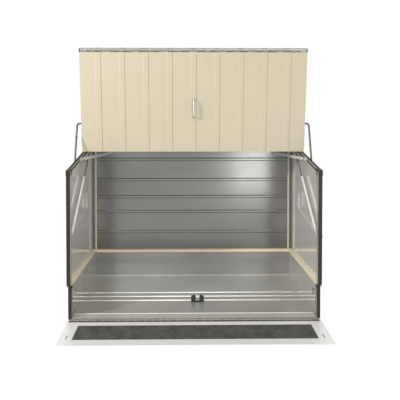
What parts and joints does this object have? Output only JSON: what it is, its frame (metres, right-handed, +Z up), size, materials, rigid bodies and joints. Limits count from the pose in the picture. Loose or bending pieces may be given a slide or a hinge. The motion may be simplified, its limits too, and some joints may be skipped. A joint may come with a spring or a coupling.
{
  "type": "bicycle locker",
  "caption": "Low steel bicycle store with a sloped lift-up roof, a hanging front door on swing arms and a fold-down ramp.",
  "frame": {"origin": "on the ground under the centre of the base, midway between the front trims' faces and the back of the base", "axes": "+X to the right seen from the front, +Y to the back, +Z up; the store stands open, its front to -Y"},
  "size_m": [2.037, 1.2372, 2.1661],
  "materials": {
    "cream_coat": "satin, fine leather grain",
    "brown_coat": "satin",
    "galvanised": "bright galvanised",
    "bright_steel": "polished",
    "dark_steel": "black nitrided",
    "grip_mat": "matt, ribbed grain"
  },
  "bodies": {
    "store": {"anchor_bar": "bright_steel", "base_frame": "galvanised", "floor_anchor": "dark_steel", "floor_tray": "galvanised", "front_sill": "galvanised", "left_arm_pivot": "bright_steel", "left_corner_brace": "bright_steel", "left_corner_cap": "brown_coat", "left_rail": "cream_coat", "left_ramp_catch": "cream_coat", "left_rear_post": "cream_coat", "left_strut_mount": "galvanised", "left_top_trim": "brown_coat", "left_wall_hanger": "bright_steel", "lock_staple": "bright_steel", "lower_left_panel": "cream_coat", "lower_left_trim": "brown_coat", "lower_rear_panel": "galvanised", "lower_right_panel": "cream_coat", "lower_right_trim": "brown_coat", "rear_header": "cream_coat", "rear_hinge_leaf": "galvanised", "rear_hinge_pin": "bright_steel", "rear_rail": "cream_coat", "right_arm_pivot": "bright_steel", "right_corner_brace": "bright_steel", "right_corner_cap": "brown_coat", "right_rail": "cream_coat", "right_ramp_catch": "cream_coat", "right_rear_post": "cream_coat", "right_strut_mount": "galvanised", "right_top_trim": "brown_coat", "right_wall_hanger": "bright_steel", "sill_hinge_pin": "bright_steel", "upper_left_panel": "cream_coat", "upper_left_trim": "brown_coat", "upper_rear_panel": "galvanised", "upper_right_panel": "cream_coat", "upper_right_trim": "brown_coat"},
    "roof": {"roof_sheet": "brown_coat", "roof_front_rail": "galvanised", "roof_rear_rail": "galvanised", "door_hinge_pin": "bright_steel", "left_strut_bracket": "galvanised", "right_strut_bracket": "galvanised"},
    "door": {"door_skin": "cream_coat", "door_top_rail": "galvanised", "door_bottom_rail": "galvanised", "left_arm_socket": "galvanised", "right_arm_socket": "galvanised", "door_handle": "bright_steel"},
    "arms": {"left_arm": "galvanised", "right_arm": "galvanised"},
    "strut_barrels": {"left_strut_barrel": "bright_steel", "right_strut_barrel": "bright_steel"},
    "strut_rods": {"left_strut_rod": "dark_steel", "right_strut_rod": "dark_steel"},
    "ramp": {"ramp_plate": "galvanised", "ramp_mat": "grip_mat", "ramp_skin": "cream_coat"}
  },
  "joints": [
    {"name": "arm_swing", "type": "hinge", "parent": "store", "child": "arms", "pos_m": [0, -0.1302, 0.9858], "axis": [1, 0, 0], "range_deg": [0, 156.86], "stiffness_Nm_per_rad": 14, "springref_deg": -128.34},
    {"name": "roof_lift", "type": "hinge", "parent": "store", "child": "roof", "pos_m": [0, 0.44, 1.36747], "axis": [1, 0, 0], "range_deg": [0, 70.12]},
    {"name": "door_tilt", "type": "hinge", "parent": "arms", "child": "door", "pos_m": [0, 0.00075, 1.51829], "axis": [-1, 0, 0], "range_deg": [0, 162.58]},
    {"name": "strut_tilt", "type": "hinge", "parent": "store", "child": "strut_barrels", "pos_m": [0, -0.397, 0.656], "axis": [-1, 0, 0], "range_deg": [0, 4.19]},
    {"name": "strut_stroke", "type": "slide", "parent": "strut_barrels", "child": "strut_rods", "axis": [0, -0.7003, -0.7139], "range_m": [0, 0.0856]},
    {"name": "ramp_fold", "type": "hinge", "parent": "store", "child": "ramp", "pos_m": [0, -0.46, 0.03], "axis": [-1, 0, 0], "range_deg": [0, 94.16]}
  ],
  "couplings": [
    {"joint": "roof_lift", "follows": "arm_swing", "ratio": 0.4469},
    {"joint": "door_tilt", "follows": "arm_swing", "ratio": 1.0363},
    {"joint": "strut_tilt", "follows": "arm_swing", "ratio": 0.02664},
    {"joint": "strut_stroke", "follows": "arm_swing", "m_per_rad": 0.031241}
  ]
}
